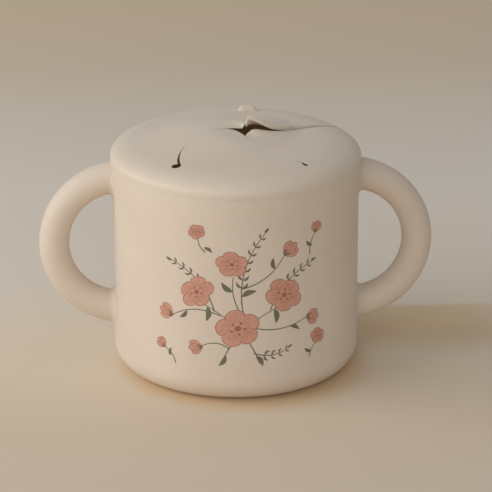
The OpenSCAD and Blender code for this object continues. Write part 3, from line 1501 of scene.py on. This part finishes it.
@dataclass(frozen=True)
class Bud:
    """Place, direction and length of one closed bud in the print.

    Its breadth and its foot are shares of its length, and each side is a turn and a share of it.
    """

    at: Spot
    degrees: float
    length: float
    sides: Tuple[Pair, ...] = ((24.0, 0.92), (-24.0, 0.92), (0.0, 1.0))
    breadth: float = 0.5
    widest: float = 0.56
    fullness: float = 0.7
    outline: float = 0.2
    vein: float = 0.17
    vein_end: float = 0.5
    vein_run: Span = (0.15, 0.8)
    veins: Tuple[float, ...] = (-0.24, 0.0, 0.24)
    foot: float = 0.42
    foot_slimness: float = 0.34
    foot_turn: float = 30.0
    foot_over: float = 0.04
    apart: float = 0.002
    step: float = 0.008
    under: float = 0.004

    def fill(self, share: float = 1.0, grow: float = 0.0) -> Blade:
        """A petal of some share of the bud's length, drawn larger all round."""
        return petal(self.length * share + grow, self.length * self.breadth + 2.0 * grow,
                     self.widest, self.fullness)

    def petals(self, grow: float = 0.0, below: float = 0.0) -> List[InkShape]:
        """Three petals that rise from one foot, the middle one in front.

        Args:
            grow: Distance by which each is drawn larger.
            below: Distance by which each lies lower.

        Returns:
            The shapes.
        """
        return [self.fill(share, grow).ink(np.array(self.at), self.degrees + side, self.step * k - below)
                for k, (side, share) in enumerate(self.sides)]

    def lines(self) -> List[InkShape]:
        """The outline under each petal and three veins up the middle one.

        Returns:
            The shapes.
        """
        out = self.petals(self.outline, 0.5 * self.step + self.under)
        for v in self.veins:
            path = rotate(self.fill().vein(v, *self.vein_run), self.degrees) + np.array(self.at)
            out.append(InkShape(ribbon(path, self.vein, self.vein_end), over=3.0 * self.step))
        return out

    def cup(self) -> List[InkShape]:
        """The bud's green foot: two short leaves that clasp it, their feet a hair apart.

        Returns:
            The shapes.
        """
        size = self.foot * self.length
        clasp = leaf(size, self.foot_slimness * size)
        return [clasp.ink(np.array(self.at) + self.apart * side, self.degrees + side, self.foot_over)
                for side in (self.foot_turn, -self.foot_turn)]


@dataclass(frozen=True)
class Stem:
    """A stem's line: a parabola between two points that bows to the left by a distance at its middle.

    Its pairs of leaflets start and end at steps of its fine path.
    """

    start: Spot
    end: Spot
    bow: float
    pairs: int = 0
    leaflet: float = 3.1
    steps: int = 28
    fine_steps: int = 100
    pair_run: Span = (28.0, 92.0)
    pair_sizes: Pair = (1.12, 0.5)
    pair_turn: float = 42.0
    pair_bow: float = 0.004
    slimness: float = 0.3
    last_size: float = 0.8
    apart: float = 0.002

    def path(self, count: int) -> Array:
        """Flat points along the stem.

        Args:
            count: How many.

        Returns:
            The points, one per row.
        """
        a, b = np.array(self.start), np.array(self.end)
        t = np.linspace(0.0, 1.0, count)[:, None]
        left = np.array([a[1] - b[1], b[0] - a[0]]) / np.linalg.norm(b - a)
        return a + (b - a) * t + left * 4.0 * self.bow * t * (1.0 - t)

    def leaflets(self) -> List[InkShape]:
        """Pairs of narrow leaflets up the outer part of the stem, smaller towards its end, and one at it.

        The feet of a pair lie a hair apart, so that no two leaflets share an edge.

        Returns:
            The shapes.
        """
        if not self.pairs:
            return []
        path = self.path(self.fine_steps)
        heading = np.degrees(np.arctan2(*np.gradient(path, axis=0).T[::-1]))
        last = leaf(self.last_size * self.leaflet, self.slimness * self.leaflet)
        out = [last.ink(path[-1], heading[-1])]
        largest, loss = self.pair_sizes
        for step in np.linspace(*self.pair_run, self.pairs).astype(int):
            size = self.leaflet * (largest - loss * step / self.fine_steps)
            for side in (self.pair_turn, -self.pair_turn):
                one = leaf(size, self.slimness * size, self.pair_bow * side)
                out.append(one.ink(path[step] + self.apart * side, heading[step] + side))
        return out


@dataclass(frozen=True)
class FloralPrint:
    """A loose garland of five-petalled flowers, buds and leafy sprigs on the front of the cup."""

    sizes: CupSizes
    line: float = 0.42
    line_end: float = 0.6
    leaf_slimness: float = 0.36
    flowers: Tuple[Flower, ...] = (
        Flower((-1.5, 28.0), 7.6, 20.0, 0.88, 10.0),
        Flower((-15.5, 40.5), 6.3, 50.0, 0.80, 40.0),
        Flower((14.5, 39.0), 6.8, 2.0, 0.84, -30.0),
        Flower((-3.5, 51.0), 5.5, 34.0, 0.80, -12.0),
        Flower((-15.5, 62.0), 2.9, 20.0, 0.85, 30.0),
        Flower((28.0, 21.5), 3.0, 50.0, 0.85, -30.0),
    )
    buds: Tuple[Bud, ...] = (
        Bud((14.4, 53.0), 40.0, 6.0), Bud((-24.2, 31.0), 165.0, 5.6), Bud((23.0, 29.4), -8.0, 5.4),
        Bud((-13.6, 21.2), 196.0, 5.0), Bud((26.5, 59.0), 75.0, 4.2), Bud((-27.5, 18.5), 140.0, 4.0),
    )
    stems: Tuple[Stem, ...] = (
        Stem((6.0, 15.0), (-13.6, 36.6), -3.0), Stem((-7.0, 15.5), (12.6, 35.0), 3.0),
        Stem((-9.4, 33.9), (-24.6, 50.6), -3.0, 6), Stem((9.6, 34.1), (24.8, 49.0), 2.6, 6),
        Stem((-0.6, 33.5), (-3.0, 46.6), 1.2), Stem((0.2, 34.0), (7.6, 61.6), 3.2, 7),
        Stem((-0.3, 42.2), (14.4, 53.0), -2.0), Stem((-7.4, 32.5), (-24.2, 31.0), -2.4),
        Stem((2.6, 28.4), (23.0, 29.4), -2.0), Stem((-4.4, 20.6), (-13.6, 21.2), -1.6),
        Stem((4.0, 18.8), (16.0, 19.4), -1.4, 4, 2.6), Stem((-12.4, 55.0), (-15.0, 59.6), 0.7),
        Stem((24.6, 14.6), (27.2, 19.0), 0.7), Stem((24.4, 51.8), (26.5, 59.0), 0.8),
        Stem((-23.4, 13.4), (-27.5, 18.5), -0.8),
    )
    leaves: Tuple[Tuple[float, float, float, float], ...] = (
        (-5.6, 18.2, 238.0, 4.6), (4.7, 17.8, 300.0, 4.6), (-11.8, 35.6, 265.0, 5.4),
        (11.0, 34.4, 275.0, 5.4), (-3.2, 41.2, 138.0, 5.2), (-0.2, 39.4, 20.0, 5.4),
        (11.0, 48.6, 95.0, 4.2), (-19.0, 33.3, 225.0, 4.0), (16.8, 27.4, 330.0, 4.0),
        (-13.0, 56.6, 330.0, 3.4), (25.4, 16.4, 150.0, 3.4), (25.4, 54.8, 140.0, 3.4),
        (-25.6, 15.6, 80.0, 3.2),
    )

    def build(self, pink: bpy.types.Material, rose: bpy.types.Material,
              green: bpy.types.Material) -> List[bpy.types.Object]:
        """Makes the print's layers, from the stems up to the fine lines, each a hair over the last.

        Args:
            pink: Ink of the petals.
            rose: Ink of the outlines and veins.
            green: Ink of stems and leaves.

        Returns:
            The finished pieces.
        """
        s, heads = self.sizes, self.flowers + self.buds
        stems = [InkShape(ribbon(stem.path(stem.steps), self.line, self.line_end)) for stem in self.stems]
        leaves = [leaf(size, self.leaf_slimness * size).ink(np.array((u, v)), way)
                  for u, v, way, size in self.leaves]
        leaves += [shape for stem in self.stems for shape in stem.leaflets()]
        leaves += [shape for bud in self.buds for shape in bud.cup()]
        petals = [shape for head in heads for shape in head.petals()]
        lines = [shape for head in heads for shape in head.lines()]
        return [
            InkLayer("print_stems", "print_green", 0.020, s).build(stems, green),
            InkLayer("print_leaves", "print_green", 0.024, s).build(leaves, green),
            InkLayer("print_petals", "print_pink", 0.045, s).build(petals, pink),
            InkLayer("print_petal_lines", "print_pink", 0.048, s).build(lines, rose),
        ]


# ------------------------------------------------------------------ studio


@dataclass(frozen=True)
class Lamp:
    """A soft white lamp that faces the cup, by its bearing from the front, height angle and distance."""

    name: str
    azimuth: float
    elevation: float
    distance: float
    size: Pair
    watts: float


@dataclass(frozen=True)
class Studio:
    """Camera, background paper and a plain soft light from the front left; places are in metres."""

    elevation: float = 20.79
    azimuth: float = -3.0
    distance: float = 1.1724
    aim_z: float = 0.04103
    focal_px: float = 3386.31
    view_px: float = 492.0
    centre_px: Spot = (235.73, 247.77)
    sensor: float = 36.0
    clip: Span = (0.05, 20.0)
    lamps: Tuple[Lamp, ...] = (
        Lamp("window", -80.0, 27.0, 1.3, (1.5, 0.9), 9.9),
        Lamp("bounce", -14.0, 14.0, 1.3, (0.9, 0.9), 4.1),
    )
    seep_watts: float = 0.0016
    seep_radius: float = 0.01
    seep_tint: str = "#ffd296"
    world_strength: float = 0.385
    paper_half_mm: float = 3000.0
    paper_drop_mm: float = 0.02
    paper_lines: int = 9

    def aim_from(self, item: bpy.types.Object, azimuth: float, elevation: float, distance: float) -> None:
        """Puts a camera or lamp at a bearing from the front, a height angle and a distance, facing the cup.

        Args:
            item: The camera or lamp.
            azimuth: Bearing in degrees from the front.
            elevation: Height angle in degrees.
            distance: Distance from the point that it faces.
        """
        a, e = math.radians(azimuth), math.radians(elevation)
        towards = Vector((math.sin(a) * math.cos(e), -math.cos(a) * math.cos(e), math.sin(e)))
        item.location = Vector((0.0, 0.0, self.aim_z)) + towards * distance
        item.rotation_euler = towards.to_track_quat("Z", "Y").to_euler()

    def camera(self) -> None:
        """Sets up the camera, with a small sideways and upward shift of its view."""
        data = bpy.data.cameras.new("camera")
        data.sensor_width = self.sensor
        data.lens = self.focal_px / self.view_px * self.sensor
        half = self.view_px / 2.0
        data.shift_x = (half - self.centre_px[0]) / self.view_px
        data.shift_y = (self.centre_px[1] - half) / self.view_px
        data.clip_start, data.clip_end = self.clip
        camera = add_object("camera", data)
        self.aim_from(camera, self.azimuth, self.elevation, self.distance)
        bpy.context.scene.camera = camera

    def lights(self) -> None:
        """Sets up the soft lamps, the little daylight that soaks into the cup, and the room's light."""
        for lamp in self.lamps:
            data = bpy.data.lights.new(lamp.name, "AREA")
            data.shape, data.energy = "ELLIPSE", lamp.watts
            data.size, data.size_y = lamp.size
            self.aim_from(add_object(lamp.name, data), lamp.azimuth, lamp.elevation, lamp.distance)
        seep = bpy.data.lights.new("daylight_through_silicone", "POINT")
        seep.energy, seep.shadow_soft_size = self.seep_watts, self.seep_radius
        seep.color = linear(self.seep_tint)[:3]
        inside = add_object(seep.name, seep)
        inside.location = (0.0, 0.0, self.aim_z)
        inside.visible_camera = False
        world = bpy.data.worlds.new("room")
        world.use_nodes = True
        glow = world.node_tree.nodes["Background"]
        glow.inputs["Color"].default_value = (1.0, 1.0, 1.0, 1.0)
        glow.inputs["Strength"].default_value = self.world_strength
        bpy.context.scene.world = world

    def paper(self) -> None:
        """Lays the background paper under the cup, a hair below its foot."""
        side = np.linspace(-self.paper_half_mm, self.paper_half_mm, self.paper_lines)
        x, y = np.meshgrid(side, side)
        flat = np.stack([x, y, 0.0 * x - self.paper_drop_mm], axis=-1).reshape(-1, 3) * MM
        quads = grid_quads(np.arange(x.size).reshape(x.shape))
        mesh = bpy.data.meshes.new("paper")
        mesh.from_pydata(flat.tolist(), [], quads.tolist())
        mesh.materials.append(PaperSweep().make())
        add_object("paper", mesh)

    def build(self) -> None:
        """Sets up the whole studio."""
        self.camera()
        self.lights()
        self.paper()
        bpy.context.scene.view_settings.view_transform = "Standard"


def main() -> None:
    """Builds every piece in turn and reports it."""
    logging.basicConfig(level=logging.INFO, format="%(name)s: %(message)s")
    Studio().build()
    sizes = CupSizes()
    cup_skin = Silicone("moulded_silicone_cup").make()
    lid_skin = Silicone("moulded_silicone_lid", body="#dacbb9", deep="#d7c7b5").make()
    pieces = [CupBody(sizes).build(cup_skin)]
    pieces += [LoopHandle(sizes, side).build(cup_skin) for side in Side]
    form = LidForm(sizes)
    pieces.append(LidRing(form).build(lid_skin))
    pieces += [LidFlap(form, spot).build(lid_skin) for spot in FlapSpot if spot is not FlapSpot.RIGHT]
    # The fold runs out over the right flap, which needs more points to follow it.
    pieces.append(LidFlap(form, FlapSpot.RIGHT, rows=110, columns=200).build(lid_skin))
    pink = PrintInk("printed_ink_pink", "#cf9c86", "#c28b76").make()
    rose = PrintInk("printed_ink_rose", "#a36a58", "#96604f").make()
    green = PrintInk("printed_ink_green", "#77715c", "#66624f").make()
    pieces += FloralPrint(sizes).build(pink, rose, green)
    for piece in pieces:
        LOG.info("%s: %d faces", piece.name, len(piece.data.polygons))


if __name__ == "__main__":
    main()
